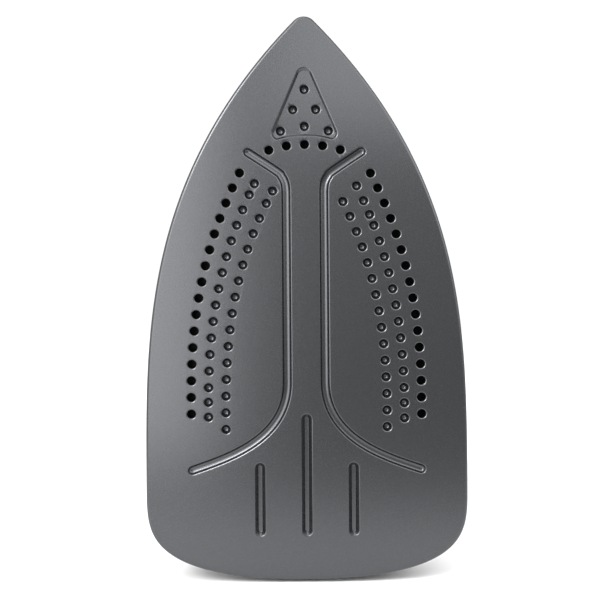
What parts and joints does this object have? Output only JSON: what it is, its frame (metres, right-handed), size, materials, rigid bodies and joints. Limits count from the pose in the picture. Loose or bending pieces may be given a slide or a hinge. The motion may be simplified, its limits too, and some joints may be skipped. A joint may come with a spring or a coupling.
{
  "type": "steam iron",
  "caption": "Steam iron standing on its heel: grooved non-stick soleplate with steam holes, clear water tank, loop handle, heat dial, slider, buttons and swivelling cord outlet.",
  "frame": {"origin": "middle of the box's underside, on the surface that the heel stands on", "axes": "+Z from the heel up to the tip, +X across the iron, -Y out of the ironing face"},
  "size_m": [0.126, 0.1376, 0.2218],
  "materials": {
    "nonstick": "satin non-stick coating on aluminium",
    "cast_aluminium": "as cast",
    "steel": "plain",
    "brass": "turned",
    "black_plastic": "fine moulded texture",
    "charcoal_plastic": "satin moulded",
    "grey_plastic": "satin moulded",
    "smoke_clear": "clear, smoke tinted, polished",
    "soft_rubber": "soft touch",
    "silicone": "matt",
    "amber_clear": "clear amber",
    "white_ceramic": "unglazed ceramic",
    "live_sleeve": "glass-fibre sleeve, brown",
    "neutral_sleeve": "glass-fibre sleeve, blue",
    "earth_sleeve": "glass-fibre sleeve, green"
  },
  "bodies": {
    "iron": {"soleplate": "nonstick", "heater_casting": "cast_aluminium", "heating_element": "steel", "chamber_cover": "steel", "thermal_fuse": "steel", "door_pin": "steel", "spray_spring": "steel", "steam_spring": "steel", "rear_screw_left": "steel", "rear_screw_right": "steel", "valve_seat": "brass", "heat_shield": "black_plastic", "dial_seat": "black_plastic", "cord_socket": "black_plastic", "body_shell": "charcoal_plastic", "handle_shell": "charcoal_plastic", "handle_cover": "charcoal_plastic", "rear_cover": "charcoal_plastic", "filler_bezel": "charcoal_plastic", "spray_nozzle": "grey_plastic", "spray_pump": "grey_plastic", "steam_pump": "grey_plastic", "tank_base": "grey_plastic", "tank_dome": "smoke_clear", "grip_pad": "soft_rubber", "heel_bumper": "soft_rubber", "heel_foot_left": "soft_rubber", "heel_foot_right": "soft_rubber", "chamber_seal": "silicone", "needle_grommet": "silicone", "indicator_lens": "amber_clear", "indicator_lamp": "amber_clear", "thermostat_body": "white_ceramic", "terminal_block": "white_ceramic", "live_lead": "live_sleeve", "neutral_lead": "neutral_sleeve", "earth_lead": "earth_sleeve"},
    "dial": {"temperature_dial": "grey_plastic", "dial_shaft": "steel"},
    "slider": {"steam_slider": "grey_plastic"},
    "needle": {"valve_needle": "brass"},
    "spray_press": {"spray_button": "grey_plastic", "spray_plunger": "grey_plastic"},
    "steam_press": {"steam_button": "grey_plastic", "steam_plunger": "grey_plastic"},
    "door": {"filler_door": "charcoal_plastic", "door_seal": "silicone"},
    "gland": {"cord_gland": "black_plastic"}
  },
  "joints": [
    {"name": "dial_turn", "type": "hinge", "parent": "iron", "child": "dial", "pos_m": [0, -0.00045, 0.088], "axis": [0, 1, 0], "range_deg": [0, 270]},
    {"name": "slider_slide", "type": "slide", "parent": "iron", "child": "slider", "axis": [0, 0, 1], "range_m": [0, 0.0096]},
    {"name": "needle_lift", "type": "slide", "parent": "iron", "child": "needle", "axis": [0, 1, 0], "range_m": [0, 0.0024]},
    {"name": "spray_button_press", "type": "slide", "parent": "iron", "child": "spray_press", "axis": [0, -0.891, -0.454], "range_m": [0, 0.0034], "stiffness_N_per_m": 400, "springref_m": -0.002, "deforming": ["spray_spring"]},
    {"name": "steam_button_press", "type": "slide", "parent": "iron", "child": "steam_press", "axis": [0, -0.891, -0.454], "range_m": [0, 0.0034], "stiffness_N_per_m": 400, "springref_m": -0.002, "deforming": ["steam_spring"]},
    {"name": "door_open", "type": "hinge", "parent": "iron", "child": "door", "pos_m": [0, -0.02482, 0.1842], "axis": [-1, 0, 0], "range_deg": [0, 105]},
    {"name": "gland_swing", "type": "hinge", "parent": "iron", "child": "gland", "pos_m": [0, 0.04875, 0.031], "axis": [-1, 0, 0], "range_deg": [0, 30]}
  ],
  "couplings": [
    {"joint": "needle_lift", "follows": "slider_slide", "ratio": 0.25}
  ]
}
